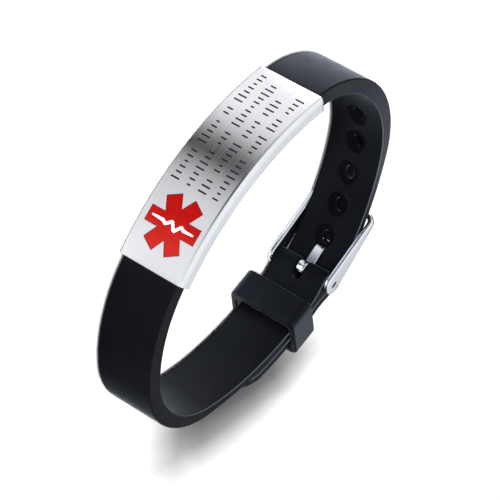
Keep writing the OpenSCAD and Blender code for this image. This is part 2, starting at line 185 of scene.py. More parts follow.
# ---- meshes
def loft(rings, caps=True):
    """Closed skin through rings of equally many points."""
    n, m = len(rings[0]), len(rings)
    verts = [tuple(p) for ring in rings for p in ring]
    faces = [
        (i * n + j, i * n + (j + 1) % n, (i + 1) * n + (j + 1) % n, (i + 1) * n + j)
        for i in range(m - 1)
        for j in range(n)
    ]
    if caps:
        faces += [tuple(range(n - 1, -1, -1)), tuple((m - 1) * n + j for j in range(n))]
    else:
        faces += [((m - 1) * n + j, (m - 1) * n + (j + 1) % n, (j + 1) % n, j) for j in range(n)]
    return verts, faces


def box_ring(a, b, radii, steps=5):
    """Rounded rectangle, half sizes a and b, with one radius or a radius for each corner."""
    if not isinstance(radii, tuple):
        radii = (min(radii, 0.98 * a, 0.98 * b),) * 4
    ring = []
    for (sx, sy, start), r in zip(((1, -1, -90), (1, 1, 0), (-1, 1, 90), (-1, -1, 180)), radii):
        for i in range(steps + 1):
            t = math.radians(start + 90 * i / steps)
            ring.append((sx * (a - r) + r * math.cos(t), sy * (b - r) + r * math.sin(t)))
    return ring


def edited(mesh, work):
    """The mesh after work on its bmesh."""
    bm = bmesh.new()
    bm.from_mesh(mesh)
    work(bm)
    bm.to_mesh(mesh)
    bm.free()
    return mesh


def face_out(bm):
    bmesh.ops.recalc_face_normals(bm, faces=bm.faces)


def mesh_from(name, verts, faces, scale=MM):
    """Mesh of welded points, in metres, with its normals outwards."""

    def weld(bm):
        bmesh.ops.remove_doubles(bm, verts=bm.verts, dist=1e-4 * scale)
        face_out(bm)

    mesh = bpy.data.meshes.new(name)
    mesh.from_pydata([tuple(c * scale for c in v) for v in verts], [], faces)
    return edited(mesh, weld)


def object_from(name, mesh):
    obj = bpy.data.objects.new(name, mesh)
    scene.collection.objects.link(obj)
    return obj


def solid(name, skin, scale=MM):
    """Object of one skin, given as its points and faces."""
    return object_from(name, mesh_from(name, *skin, scale=scale))


def cut_from(obj, cutters):
    """Takes each cutter out of obj, then deletes the cutters."""
    for cutter in cutters:
        mod = obj.modifiers.new("cut", "BOOLEAN")
        mod.operation, mod.solver, mod.object = "DIFFERENCE", "EXACT", cutter
    graph = bpy.context.evaluated_depsgraph_get()
    made = bpy.data.meshes.new_from_object(obj.evaluated_get(graph))
    obj.modifiers.clear()
    obj.data = made
    for cutter in cutters:
        bpy.data.objects.remove(cutter)
    return obj


def joined(parts):
    """One skin of several separate ones."""
    verts, faces = [], []
    for v, f in parts:
        faces += [tuple(i + len(verts) for i in face) for face in f]
        verts += v
    return verts, faces


def dress(obj, material, slot, *nodes, angle=32):
    """Finish, shading and place in the frame of one piece."""
    obj.data.materials.clear()
    obj.data.materials.append(material)
    obj.data.polygons.foreach_set("use_smooth", [True] * len(obj.data.polygons))
    obj.data.set_sharp_from_angle(angle=math.radians(angle))
    obj.data.update()
    mod = obj.modifiers.new("face shading", "WEIGHTED_NORMAL")
    mod.keep_sharp, mod.weight = True, 60
    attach(obj, "root")
    if nodes:
        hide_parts(*nodes)
    return obj


def placed(points):
    return [tuple(np.array(p) + SHIFT) for p in points]


def stand(points, origin, deg):
    """Points (along, off, z) of a piece whose own line starts at origin and heads at deg."""
    u, v = ahead(deg), side(deg)
    return [
        tuple(np.array([*(np.array(origin[:2]) + p[0] * u + p[1] * v), p[2]]) + SHIFT) for p in points
    ]


def at_pin(rings, deg=FRAME_ANGLE):
    """Skin through rings of points (along, off, z) from the hinge pin, heading at deg."""
    return loft([stand(ring, PIN, deg) for ring in rings])


# ---- shader groups
def add(tree, kind, at=(0, 0), **values):
    node = tree.nodes.new(kind)
    node.location = at
    for key, value in values.items():
        setattr(node, key, value)
    return node


def put(tree, socket, value):
    """Feeds a socket from another node, or sets it to a number or colour."""
    if isinstance(value, bpy.types.NodeSocket):
        tree.links.new(value, socket)
    else:
        socket.default_value = (*value, 1) if isinstance(value, tuple) else value


def fill(tree, node, values):
    """Feeds or sets the sockets of a node by their names."""
    for label, value in values.items():
        put(tree, node.inputs[label], value)


def make_group(name, outputs, **knobs):
    """Node group that takes a place and named knobs with their usual values, and gives numbers."""
    tree = bpy.data.node_groups.new(name, "ShaderNodeTree")
    tree.interface.new_socket("Place", in_out="INPUT", socket_type="NodeSocketVector")
    for label, value in knobs.items():
        tree.interface.new_socket(label, in_out="INPUT", socket_type="NodeSocketFloat").default_value = value
    for label in outputs:
        tree.interface.new_socket(label, in_out="OUTPUT", socket_type="NodeSocketFloat")
    return tree, add(tree, "NodeGroupInput", (-900, 0)), add(tree, "NodeGroupOutput", (700, 0))


def in_mm(tree, source, scale):
    """Place in millimetres, stretched by scale."""
    mapping = add(tree, "ShaderNodeMapping", (-700, 0))
    mapping.inputs["Scale"].default_value = tuple(1000 * s for s in scale)
    tree.links.new(source, mapping.inputs["Vector"])
    return mapping.outputs["Vector"]


def noise(tree, vector, scale, detail=2.0, rough=0.5, at=(-400, 0)):
    made = add(tree, "ShaderNodeTexNoise", at)
    fill(tree, made, {"Vector": vector, "Scale": scale, "Detail": detail, "Roughness": rough})
    return made.outputs["Fac"]


def ranged(tree, value, low, high, to_low=0.0, to_high=1.0, at=(0, 0)):
    made = add(tree, "ShaderNodeMapRange", at)
    fill(tree, made, {"Value": value, "From Min": low, "From Max": high, "To Min": to_low, "To Max": to_high})
    return made.outputs["Result"]


def math_of(tree, operation, a, b, at=(0, 0)):
    made = add(tree, "ShaderNodeMath", at, operation=operation)
    put(tree, made.inputs[0], a)
    put(tree, made.inputs[1], b)
    return made.outputs["Value"]


def product(tree, at, first, *others):
    for i, other in enumerate(others):
        first = math_of(tree, "MULTIPLY", first, other, (at[0] + 200 * i, at[1]))
    return first


def split(tree, vector, at):
    """X, Y and Z of a vector."""
    parts = add(tree, "ShaderNodeSeparateXYZ", at)
    tree.links.new(vector, parts.inputs["Vector"])
    return parts.outputs


def facing(tree, at):
    """X, Y and Z of the direction that the surface faces."""
    coords = add(tree, "ShaderNodeTexCoord", (at[0] - 200, at[1]))
    return split(tree, coords.outputs["Normal"], at)


def brushed_group():
    """Fine straight lines left by brushing, long in the first direction and close in the others."""
    tree, given, out = make_group("brushed_lines", ("Lines", "Streaks"))
    fine = noise(tree, in_mm(tree, given.outputs["Place"], (0.6, 0.6, 16)), 1.0, 3, 0.6, (-400, 200))
    broad = noise(tree, in_mm(tree, given.outputs["Place"], (0.12, 0.12, 2.6)), 1.0, 2, 0.5, (-400, -200))
    tree.links.new(fine, out.inputs["Lines"])
    tree.links.new(ranged(tree, broad, 0.35, 0.65, at=(0, -200)), out.inputs["Streaks"])
    return tree


def wear_group():
    """Soft uneven patches, and sparse fine marks from handling."""
    tree, given, out = make_group("handling_wear", ("Patches", "Specks"), Size=0.3)
    place = in_mm(tree, given.outputs["Place"], (1, 1, 1))
    patches = noise(tree, place, given.outputs["Size"], 4, 0.5, (-400, 200))
    specks = noise(tree, place, 5.0, 2, 0.7, (-400, -200))
    tree.links.new(ranged(tree, patches, 0.35, 0.68, at=(0, 200)), out.inputs["Patches"])
    tree.links.new(ranged(tree, specks, 0.66, 0.76, at=(0, -200)), out.inputs["Specks"])
    return tree


def skin_group():
    """Moulded rubber skin: a very fine matt grain over slow waves of the mould."""
    tree, given, out = make_group("moulded_skin", ("Height", "Matt"), Grain=1.0)
    place = in_mm(tree, given.outputs["Place"], (1, 1, 1))
    grain = noise(tree, place, 9.0, 3, 0.6, (-400, 200))
    waves = noise(tree, place, 0.35, 2, 0.5, (-400, -200))
    fine = product(tree, (0, 200), grain, given.outputs["Grain"])
    tree.links.new(math_of(tree, "ADD", fine, waves, (200, 200)), out.inputs["Height"])
    tree.links.new(ranged(tree, waves, 0.3, 0.7, at=(0, -200)), out.inputs["Matt"])
    return tree


BRUSHED, WEAR, SKIN = brushed_group(), wear_group(), skin_group()


def new_material(name):
    material = bpy.data.materials.new(name)
    material.use_nodes = True
    tree = material.node_tree
    return material, tree, add(tree, "ShaderNodeTexCoord", (-1200, 0)).outputs["Object"]


def placed_group(tree, group, place, at, **values):
    node = add(tree, "ShaderNodeGroup", at, node_tree=group)
    fill(tree, node, {"Place": place, **values})
    return node


def blended(tree, factor, dark, light, at=(-500, 200)):
    """Mix of two colours, of which each may come from a node."""
    mix = add(tree, "ShaderNodeMix", at, data_type="RGBA")
    fill(tree, mix, {"Factor": factor, "A": dark, "B": light})
    return mix.outputs["Result"]


def roughness(tree, value, low, high):
    """Roughness that a value between 0 and 1 takes from low to high."""
    return ranged(tree, value, 0, 1, low, high, (-500, 0))


def bumped(tree, height, strength, distance):
    bump = add(tree, "ShaderNodeBump", (-300, -500))
    fill(tree, bump, {"Height": height, "Strength": strength, "Distance": distance * MM})
    return bump.outputs["Normal"]


def settle(tree, values):
    """Feeds or sets the sockets of a material's shader."""
    fill(tree, tree.nodes["Principled BSDF"], values)


# Where the strap's painted edge highlights and painted top sheen turn, in metres: down from its rims, along X beside
# the plate's tail end, and along Y
RIM_START, RIM_END = 0.5 * MM, 0.4 * MM
TAIL_END_X, REAR_Y, TOP_Y = (-27 * MM, -20 * MM), (14 * MM, 18 * MM), (-12 * MM, 10 * MM)


def painted_highlight_masks(tree, place):
    """Share of the pale colour painted as highlights on the strap's upper edges and as sheen on its top, and one
    along its lower edges.

    All inner edges take it, the outer ones only near the buckle, and the top only beside the plate's tail end.
    """
    half = STRAP_W / 2 * MM
    here, turn = split(tree, place, (-1300, 500)), facing(tree, (-1300, 700))
    rise = math_of(tree, "SUBTRACT", here["Z"], SHIFT[2] * MM, (-1100, 500))
    high = ranged(tree, rise, half - RIM_START, half - RIM_END, at=(-900, 500))
    low = ranged(tree, rise, RIM_END - half, RIM_START - half, 1, 0, (-900, 350))
    start = ranged(tree, turn["Z"], 0.25, 0.5, at=(-900, 700))
    end = ranged(tree, turn["Z"], 0.8, 0.97, 1, 0, (-900, 850))
    across = product(tree, (-900, 1050), here["X"], turn["X"])
    deep = product(tree, (-900, 1200), here["Y"], turn["Y"])
    outward = math_of(tree, "ADD", across, deep, (-700, 1100))
    inner = ranged(tree, outward, -2 * MM, 2 * MM, 1, 0, (-500, 1100))
    beside = ranged(tree, here["X"], *TAIL_END_X, 0.8, 0.5, (-500, 1300))
    rear = ranged(tree, here["Y"], *REAR_Y, 0, 0.5, (-700, 1300))
    kept = math_of(tree, "MAXIMUM", product(tree, (-400, 1100), inner, beside), rear, (-300, 1200))
    level = ranged(tree, turn["Z"], 0.9, 0.98, at=(-500, 1500))
    tail_end = ranged(tree, here["X"], *TAIL_END_X, 1, 0, (-500, 1650))
    depth = ranged(tree, here["Y"], *TOP_Y, 0.14, 0.42, (-500, 1800))
    top = product(tree, (-300, 1600), level, tail_end, depth, high)
    return math_of(tree, "MAXIMUM", product(tree, (-300, 800), high, start, end, kept), top, (500, 1000)), low


def rubber(name, dark, light, rough, specular, sheen, edge=None, painted_top_light=None):
    """Moulded silicone. The edge colour is a pale one painted on as highlights along the strap's upper edges and as
    sheen on its top; the last colour is a lighter one painted on the keeper's upper side as the light that falls
    there.
    """
    material, tree, place = new_material(name)
    skin = placed_group(tree, SKIN, place, (-900, 100), Grain=0.5)
    wear = placed_group(tree, WEAR, place, (-900, -200), Size=0.12)
    colour = blended(tree, wear.outputs["Patches"], dark, light)
    # Painted highlights on the upper edges and painted sheen on the top beside the plate's tail end; recesses and
    # lower edges lose their shine
    if edge:
        highlight_share, low = painted_highlight_masks(tree, place)
        colour = blended(tree, highlight_share, colour, edge, (-200, 300))
        recess = add(tree, "ShaderNodeAttribute", (-900, -400), attribute_name="recess")
        matt = math_of(tree, "MAXIMUM", recess.outputs["Fac"], low, (-700, -400))
        specular = ranged(tree, matt, 0, 1, specular, 0.01, (-500, -400))
    # Painted light: the keeper's upward-facing side is made lighter, where the light from above falls
    if painted_top_light:
        upper = ranged(tree, facing(tree, (-900, 600))["Z"], 0.75, 0.98, at=(-700, 600))
        colour = blended(tree, upper, colour, painted_top_light, (-200, 300))
    values = {
        "Base Color": colour,
        "Roughness": roughness(tree, skin.outputs["Matt"], rough - 0.04, rough + 0.05),
        "Specular IOR Level": specular,
        "Specular Tint": (0.78, 0.86, 1),
        "Sheen Weight": sheen,
        "Sheen Roughness": 0.35,
        "Sheen Tint": (0.75, 0.85, 1),
        "Normal": bumped(tree, skin.outputs["Height"], 0.25, 0.02),
    }
    settle(tree, values)
    return material


def brushed_steel(name, base, rough, anisotropy, depth):
    material, tree, place = new_material(name)
    brushed = placed_group(tree, BRUSHED, place, (-900, 100))
    wear = placed_group(tree, WEAR, place, (-900, -200), Size=0.2)
    uneven = product(tree, (-700, -100), wear.outputs["Patches"], brushed.outputs["Streaks"])
    tangent = add(tree, "ShaderNodeTangent", (-300, -700), direction_type="RADIAL", axis="Z")
    values = {
        "Base Color": blended(tree, brushed.outputs["Streaks"], tuple(0.96 * c for c in base), base),
        "Roughness": roughness(tree, uneven, rough, rough + 0.07),
        "Metallic": 1,
        "Anisotropic": anisotropy,
        "Tangent": tangent.outputs["Tangent"],
        "Normal": bumped(tree, brushed.outputs["Lines"], depth, 0.01),
    }
    settle(tree, values)
    return material


def polished_steel(name, base, rough):
    material, tree, place = new_material(name)
    wear = placed_group(tree, WEAR, place, (-900, -200), Size=0.5)
    values = {
        "Base Color": blended(tree, wear.outputs["Patches"], tuple(0.93 * c for c in base), base),
        "Roughness": roughness(tree, wear.outputs["Patches"], rough, rough + 0.06),
        "Metallic": 1,
        "Normal": bumped(tree, wear.outputs["Specks"], 0.1, 0.01),
    }
    settle(tree, values)
    return material


def enamel(name, dark, light, rough, dark_to_light_x=None):
    """Fired enamel; the optional last argument gives the places, in metres along X, between which its colour runs
    from dark to light.
    """
    material, tree, place = new_material(name)
    wear = placed_group(tree, WEAR, place, (-900, -200), Size=0.25)
    share = wear.outputs["Patches"]
    # Colour darker towards lower X and lighter towards higher X
    if dark_to_light_x:
        depth = ranged(tree, split(tree, place, (-900, 400))["X"], *dark_to_light_x, at=(-700, 400))
        share = math_of(tree, "ADD", depth, product(tree, (-700, 200), share, 0.25), (-600, 300))
    values = {
        "Base Color": blended(tree, share, dark, light),
        "Roughness": roughness(tree, wear.outputs["Specks"], rough, rough + 0.2),
        "Specular IOR Level": 0.05,
        "Coat Weight": 0.02,
        "Coat Roughness": 0.08,
        "Normal": bumped(tree, wear.outputs["Patches"], 0.2, 0.03),
    }
    settle(tree, values)
    return material


# Its edge colour is painted on as highlights along the upper edges and as sheen on the top beside the plate's tail
# end
STRAP_RUBBER = rubber(
    "black_silicone", (0.0012, 0.0014, 0.002), (0.0022, 0.0025, 0.0034), 0.4, 0.085, 0.06,
    edge=(0.09, 0.1, 0.122),
)
# Its last colour is painted on the keeper's upper side as the light that falls there
KEEPER_RUBBER = rubber(
    "black_silicone_keeper", (0.0015, 0.0017, 0.0024), (0.0026, 0.003, 0.004), 0.42, 0.13, 0.1,
    painted_top_light=(0.032, 0.035, 0.043),
)
PLATE_STEEL = brushed_steel("brushed_steel", (0.82, 0.82, 0.84), 0.2, 0.75, 0.25)
BUCKLE_STEEL = brushed_steel("satin_buckle_steel", (0.76, 0.77, 0.8), 0.22, 0.4, 0.2)
BRIGHT_STEEL = polished_steel("bright_steel", (0.8, 0.81, 0.83), 0.1)
RED_ENAMEL = enamel("red_enamel", (0.22, 0.0002, 0.0002), (0.29, 0.011, 0.008), 0.25, (0.008, 0.014))
WHITE_ENAMEL = enamel("white_enamel", (0.82, 0.82, 0.82), (0.9, 0.9, 0.9), 0.3)
# Black of the engraved marks, also used as painted shade in the buckle's pin slots
ENGRAVED_AND_SHADE_BLACK = enamel("engraved_and_painted_shade_black", (0.008, 0.008, 0.01), (0.016, 0.016, 0.02), 0.55)


# ---- strap
GROOVE_Z = STRAP_W / 2 - LIP_LEN
GROOVE_U = PLATE_R - PLATE_H + LIP_T + FIT - MID_R
SEAT_U = PLATE_R - FACE_T - FIT - MID_R


def strap_ring(half, half_w, seat):
    """Section of the strap: u outwards, z across. Under the plate it drops and takes the lips' grooves."""
    r_out = r_in = min(STRAP_EDGE, 0.95 * half_w, 0.95 * half)
    out, steps = half, 6
    if seat:
        out, r_out = SEAT_U, 0.1
    gz = min(GROOVE_Z, 0.6 * half_w)
    arc = [math.radians(90 * i / steps) for i in range(steps + 1)]
    ring = [(out - r_out + r_out * math.sin(t), -(half_w - r_out) - r_out * math.cos(t)) for t in arc]
    ring += [(out, half_w * k) for k in (-0.6, -0.3, 0, 0.3, 0.6)]
    ring += [(out - r_out + r_out * math.cos(t), half_w - r_out + r_out * math.sin(t)) for t in arc]
    if seat:
        edge = [(GROOVE_U, half_w + (gz - half_w) * i / steps) for i in range(steps + 1)]
    else:
        edge = [(-(half - r_in) - r_in * math.sin(t), half_w - r_in + r_in * math.cos(t)) for t in arc]
    inner = edge + [(-half, gz), (-half, gz / 2), (-half, 0.0)]
    return ring + inner + [(u, -z) for u, z in reversed(inner[:-1])]


def strap_band():
    """The strap, from its fold at the hinge round the bracelet to the tail's tip."""
    rings = []

    def section(centre, out, half, half_w=STRAP_W / 2, seat=False):
        centre = np.array(centre[:2])
        rings.append(placed([(*(centre + u * out), z) for u, z in strap_ring(half, half_w, seat)]))

    for t in QUARTER:
        section(np.array(PIN[:2]) - FOLD_R * math.cos(t) * ahead(PIN[2]), side(PIN[2]), FOLD_R * math.sin(t))
    for p, s in list(zip(buckle_run, buckle_dist))[1:-1]:
        section(p, side(p[2]), buckle_t(s) / 2)
    seat = HALF_DEG + math.degrees(FIT / PLATE_R)
    n = math.ceil(PLATE_LEN / STEP)
    for i in range(-1, n + 2):
        p = on_plate(seat * (1 - 2 * min(max(i, 0), n) / n))
        section(p, side(p[2]), STRAP_T / 2, seat=0 <= i <= n)
    for p, s in reversed(list(zip(over_run, over_dist))[1:-1]):
        section(p, -side(p[2]), over_t(s) / 2)
    tip_r = STRAP_W / 2
    n = math.ceil((TAIL - tip_r) / STEP)
    stops = [((TAIL - tip_r) * i / n, tip_r) for i in range(n + 1)]
    tip = [math.radians(a) for a in [*range(4, 88, 4), 86, 87.5]]
    stops += [(TAIL - tip_r * (1 - math.sin(a)), tip_r * math.cos(a)) for a in tip]
    for s, half_w in stops:
        p = tail_place(s)
        section(p, side(p[2]), END_T / 2, half_w)
    return solid("strap_band", loft(rings))


def lathe(profile, place, axis, start, turns=48):
    """Body of revolution: profile of (along axis, radius) from a place of the route; start is square to the axis."""
    origin, axis, start = np.array([*place[:2], 0]), np.array(axis, float), np.array(start, float)
    other = np.cross(axis, start)
    rings = []
    for along, radius in profile:
        ring = []
        for i in range(turns):
            t = 2 * math.pi * i / turns
            ring.append(origin + along * axis + radius * (math.cos(t) * start + math.sin(t) * other))
        rings.append(placed(ring))
    return loft(rings)


# Profile of a hole: its eased outer rim, then the recess's foot, side and lip. Each point is a depth from
# the outer surface, the recess's floor or the inner surface, and a growth of the hole's or the recess's radius
HOLE_RIM = [(-0.1, 0.3), (0, 0.16), (0.06, 0.05), (0.18, 0)]
RECESS_FOOT = [(-0.14, 0), (-0.04, 0.04), (0, 0.14)]
RECESS_SIDE = [(0, -0.22), (0.05, -0.08), (0.15, 0)]
RECESS_LIP = [(-0.08, 0.04), (0, 0.16), (0.05, 0.2), (0.5, 0.25)]


def hole_cutter(place, inward, thick, recess=True):
    """A hole with a soft edged recess round it on the wearer's side, and just eased on the outer side."""
    half = thick / 2
    profile = [(-half + x, HOLE_R + r) for x, r in HOLE_RIM]
    if recess:
        profile += [(half - RECESS_H + x, HOLE_R + r) for x, r in RECESS_FOOT]
        profile += [(half - RECESS_H + x, RECESS_R + r) for x, r in RECESS_SIDE]
        profile += [(half + x, RECESS_R + r) for x, r in RECESS_LIP]
    else:
        profile += [(half, HOLE_R), (half + 0.1, HOLE_R)]
    return solid("hole", lathe(profile, place, (*inward, 0), (0, 0, 1)))


def stadium(length, width, steps=16):
    """Flat outline with round ends, along its first axis."""
    r, half = width / 2, (length - width) / 2
    points = []
    for sign in (1, -1):
        for i in range(steps + 1):
            t = math.radians(-90 + 180 * i / steps)
            points.append((sign * (half + r * math.cos(t)), sign * r * math.sin(t)))
    return points


def rounded_path(points, r):
    """Polyline with its corners rounded."""
    steps = 6
    path = [np.array(points[0], float)]
    for a, b, c in zip(points, points[1:], points[2:]):
        a, b, c = (np.array(p, float) for p in (a, b, c))
        u, v = a - b, c - b
        lu, lv = np.linalg.norm(u), np.linalg.norm(v)
        u, v = u / lu, v / lv
        half = math.acos(max(-1, min(1, u @ v))) / 2
        cut = min(r / math.tan(half), 0.45 * lu, 0.45 * lv)
        for i in range(steps + 1):
            k = i / steps
            path.append((1 - k) ** 2 * (b + u * cut) + 2 * k * (1 - k) * b + k * k * (b + v * cut))
    path.append(np.array(points[-1], float))
    return path


def across_path(path, i):
    """Direction square to a flat path at its point i."""
    a, b = path[max(0, i - 1)], path[min(len(path) - 1, i + 1)]
    return np.array([a[1] - b[1], b[0] - a[0]]) / np.linalg.norm(b - a)


def tongue_rings(half_t, half_w, r, start):
    """Sections of the tongue's bar: straight from the pin, down through its hole, then up to the cross bar."""
    off = -(RING_D - TONGUE_T) / 2
    length = FRAME_REACH + BAR_T / 2 + 0.5
    bends = [(start, off), (DIP_AT, off), (DIP_AT + DIP_LEN, off - DIP), (FRAME_REACH, off), (length, off + 0.15)]
    path = rounded_path(bends, 1.1)
    rings = []
    for i, p in enumerate(path):
        n = across_path(path, i)
        rings.append([(p[0] + t * n[0], p[1] + t * n[1], w) for t, w in box_ring(half_t, half_w, r)])
    return rings


def strap_cutters():
    cutters = []
    for i in range(-HOLES_TAIL, HOLES_UP + 1):
        s = HOLE_AT + i * HOLE_PITCH
        if s > 0:
            p = place_at(over_run, over_dist, s)
            cutters.append(hole_cutter(p, side(p[2]), over_t(s), s > FOLD_LEN))
        else:
            p = tail_place(-s)
            cutters.append(hole_cutter(p, -side(p[2]), END_T))
    cutters.append(solid("bore", lathe([(-8, PIN_BORE_R), (8, PIN_BORE_R)], PIN, (0, 0, 1), (1, 0, 0))))
    outline = stadium(RING_SLOT_L, RING_SLOT_W)
    slot = [[(x - RING_SLOT_BACK, y, z) for x, z in outline] for y in (-1.75, 1.75)]
    cutters.append(solid("ring_slot", at_pin(slot, PIN[2])))
    channel = tongue_rings(TONGUE_T / 2 + FIT, TONGUE_W / 2 + FIT, 0.15, 0.0)
    cutters.append(solid("channel", at_pin(channel)))
    return cutters


def mark_recesses(mesh):
    """Point value of one inside the holes and their recesses."""
    points = np.empty(len(mesh.vertices) * 3)
    mesh.vertices.foreach_get("co", points)
    points = points.reshape(-1, 3) / MM - SHIFT
    inside = np.zeros(len(points))
    for i in range(HOLES_UP + 1):
        s = HOLE_AT + i * HOLE_PITCH
        p = place_at(over_run, over_dist, s)
        offset = points[:, :2] - p[:2]
        inward = offset @ side(p[2])
        reach = np.hypot(offset @ ahead(p[2]), points[:, 2])
        half = over_t(s) / 2
        inside[(reach < RECESS_R + 0.1) & (inward > half - RECESS_H - 0.1) & (inward < half + 1)] = 1
        inside[(reach < HOLE_R + 0.1) & (abs(inward) < half)] = 1
    mesh.attributes.new("recess", "FLOAT", "POINT").data.foreach_set("value", inside)


strap = cut_from(strap_band(), strap_cutters())
mark_recesses(strap.data)
dress(strap, STRAP_RUBBER, "strap_rubber", "strap")


# ---- plate, star and marks
def bend(mesh):
    """Bends a flat mesh (along, above the face, across) in millimetres round the plate's arc."""
    co = np.zeros(len(mesh.vertices) * 3)
    mesh.vertices.foreach_get("co", co)
    co = co.reshape(-1, 3)
    angle, radius = co[:, 0] / PLATE_R, PLATE_R + co[:, 1]
    bent = np.stack([radius * np.sin(angle), PLATE_R - radius * np.cos(angle), co[:, 2]], 1) + SHIFT
    mesh.vertices.foreach_set("co", (bent * MM).ravel())
    edited(mesh, face_out).update()


def sliced(mesh, low, high, step):
    """Cuts a flat mesh across its length, so that it can bend."""

    def slices(bm):
        for u in np.arange(low, high, step):
            geom = bm.verts[:] + bm.edges[:] + bm.faces[:]
            bmesh.ops.bisect_plane(bm, geom=geom, dist=1e-6, plane_co=(u, 0, 0), plane_no=(1, 0, 0))

    edited(mesh, slices)


def star_outline(grow=0.0):
    """Outline of the six-armed figure, its middle at the origin, grown outwards."""
    w, d = STAR_W / 2 + grow, STAR_D / 2 + grow
    points = []
    for k in range(6):
        deg = 90 + 60 * k
        u, v = ahead(deg), side(deg)
        points += [d * u - w * v, d * u + w * v, 2 * w * ahead(deg + 30)]
    return points


def star_rings(levels):
    """levels: (height over the face, growth of the outline)"""
    return [[(STAR_AT + p[0], h, p[1]) for p in star_outline(grow)] for h, grow in levels]


# Arcs of the plate's shoulder: radius, first and last degree, step
SHOULDER = ((1.9, 0, 16, 4), (0.3, 16, 65, 7), (2.53, 65, 90, 5))
# Heights over the face and growths of the star's outline: of its pocket in the plate, and of the enamel
POCKET = [(-ENAMEL_T - 0.03, 0.03), (-0.12, 0.03), (-0.02, 0.07), (0.06, 0.15)]
ENAMEL = [(-ENAMEL_T, 0.0), (-0.05, 0.0), (-0.01, -0.02), (0.02, -0.07), (0.035, -0.16), (0.05, -0.5)]


def plate_section():
    """Half of the plate's section: (above the face, across) from the middle of the face outwards."""
    half, inner = PLATE_W / 2, STRAP_W / 2 + FIT
    top, across = 0.0, half - 0.95
    points = [(top, 0.0), (top, 3.0)]
    for radius, low, high, step in SHOULDER:
        for t, last in ((math.radians(a), math.radians(a - step)) for a in range(low + step, high + 1, step)):
            top -= radius * (math.cos(last) - math.cos(t))
            across += radius * (math.sin(t) - math.sin(last))
            points.append((top, across))
    points += [(-PLATE_H + 0.12, half), (-PLATE_H, half - 0.12)]
    points += [(-PLATE_H, inner - LIP_LEN + 0.15), (-PLATE_H + 0.15, inner - LIP_LEN)]
    points += [(-PLATE_H + LIP_T, inner - LIP_LEN), (-PLATE_H + LIP_T, inner), (-FACE_T - 0.05, inner)]
    points += [(-FACE_T, inner - 0.05), (-FACE_T, 3.0), (-FACE_T, 0.0)]
    return points


def plate_piece():
    half = plate_section()
    full = half + [(h, -z) for h, z in reversed(half[1:-1])]
    end = PLATE_LEN / 2
    rings = []
    for u, inset in ((0, 0.12), (0.04, 0.04), (0.12, 0)):
        ring = [(h - inset * (h > -FACE_T / 2), z - inset * np.sign(z) * (abs(z) > 6.5)) for h, z in full]
        rings.append([(u - end, h, z) for h, z in ring])
    rings += [[(-u, h, z) for u, h, z in ring] for ring in reversed(rings)]
    plate = solid("plate_channel", loft(rings), 1)
    cut_from(plate, [solid("pocket", loft(star_rings(POCKET)), 1)])
    sliced(plate.data, 0.5 - end, end - 0.3, 0.5)
    bend(plate.data)
    return dress(plate, PLATE_STEEL, "plate_steel", "id_plate", angle=28)


def enamel_star():
    star = solid("star_enamel", loft(star_rings(ENAMEL)), 1)
    sliced(star.data, STAR_AT - 6, STAR_AT + 6, 0.4)
    bend(star.data)
    return dress(star, RED_ENAMEL, "red_enamel", "emblem", angle=40)


# Pulse line: places across and along the star, as shares of its size, and the bead's half width and height
PULSE = [(-0.42, 0), (-0.2, 0), (-0.13, 0.45), (-0.03, -0.55), (0.07, 1), (0.16, -0.4), (0.22, 0), (0.42, 0)]
BEAD_W, BEAD_H, BEAD_UP, BEAD_SIDES = 0.29, 0.13, 0.03, 12


def pulse_piece():
    """White pulse line across the star, a low rounded bead."""
    path = rounded_path([(STAR_AT + y * 0.95, x * STAR_D) for x, y in PULSE], 0.25)
    rings = []
    for i, p in enumerate(path):
        n = across_path(path, i)
        end = 0.55 if i in (0, len(path) - 1) else 1.0
        ring = []
        for k in range(BEAD_SIDES):
            t = 2 * math.pi * k / BEAD_SIDES
            q = p + n * BEAD_W * end * math.cos(t)
            ring.append((q[0], BEAD_UP + BEAD_H * end * math.sin(t), q[1]))
        rings.append(ring)
    bead = solid("pulse_enamel", loft(rings), 1)
    bend(bead.data)
    return dress(bead, WHITE_ENAMEL, "white_enamel", "pulse_line", angle=60)


# Rows of marks: middle of the row across the plate, and the groups of strokes along it
MARK_ROWS = [(-4.5, (6, 5, 2, 7)), (-1.45, (7, 3, 10)), (1.55, (3, 6, 4, 4)), (4.45, (8, 4, 3, 4))]
MARK_PITCH, MARK_START, MARK_W, MARK_DEPTH, MARK_PROUD = 1.13, 5.4, 0.32, 0.03, 0.012
MARK_HEIGHTS = (1.9, 1.3, 0.8, 1.3, 1.9, 1.3, 1.3)


def mark_piece():
    """Plain upright strokes in groups, in four rows along the plate."""
    strokes = []
    for row, (z, groups) in enumerate(MARK_ROWS):
        u, count = MARK_START, 0
        for group in groups:
            for _ in range(group):
                tall = MARK_HEIGHTS[(3 * count + 2 * row) % len(MARK_HEIGHTS)]
                outline = [(u + a, z + b - 0.1) for b, a in stadium(tall, MARK_W, 8)]
                strokes.append(loft([[(x, h, y) for x, y in outline] for h in (-MARK_DEPTH, MARK_PROUD)]))
                u -= MARK_PITCH
                count += 1
            u -= 0.9 * MARK_PITCH
    marks = solid("engraved_strokes", joined(strokes), 1)
    bend(marks.data)
    return dress(marks, ENGRAVED_AND_SHADE_BLACK, None)


plate_piece()
enamel_star()
pulse_piece()
mark_piece()


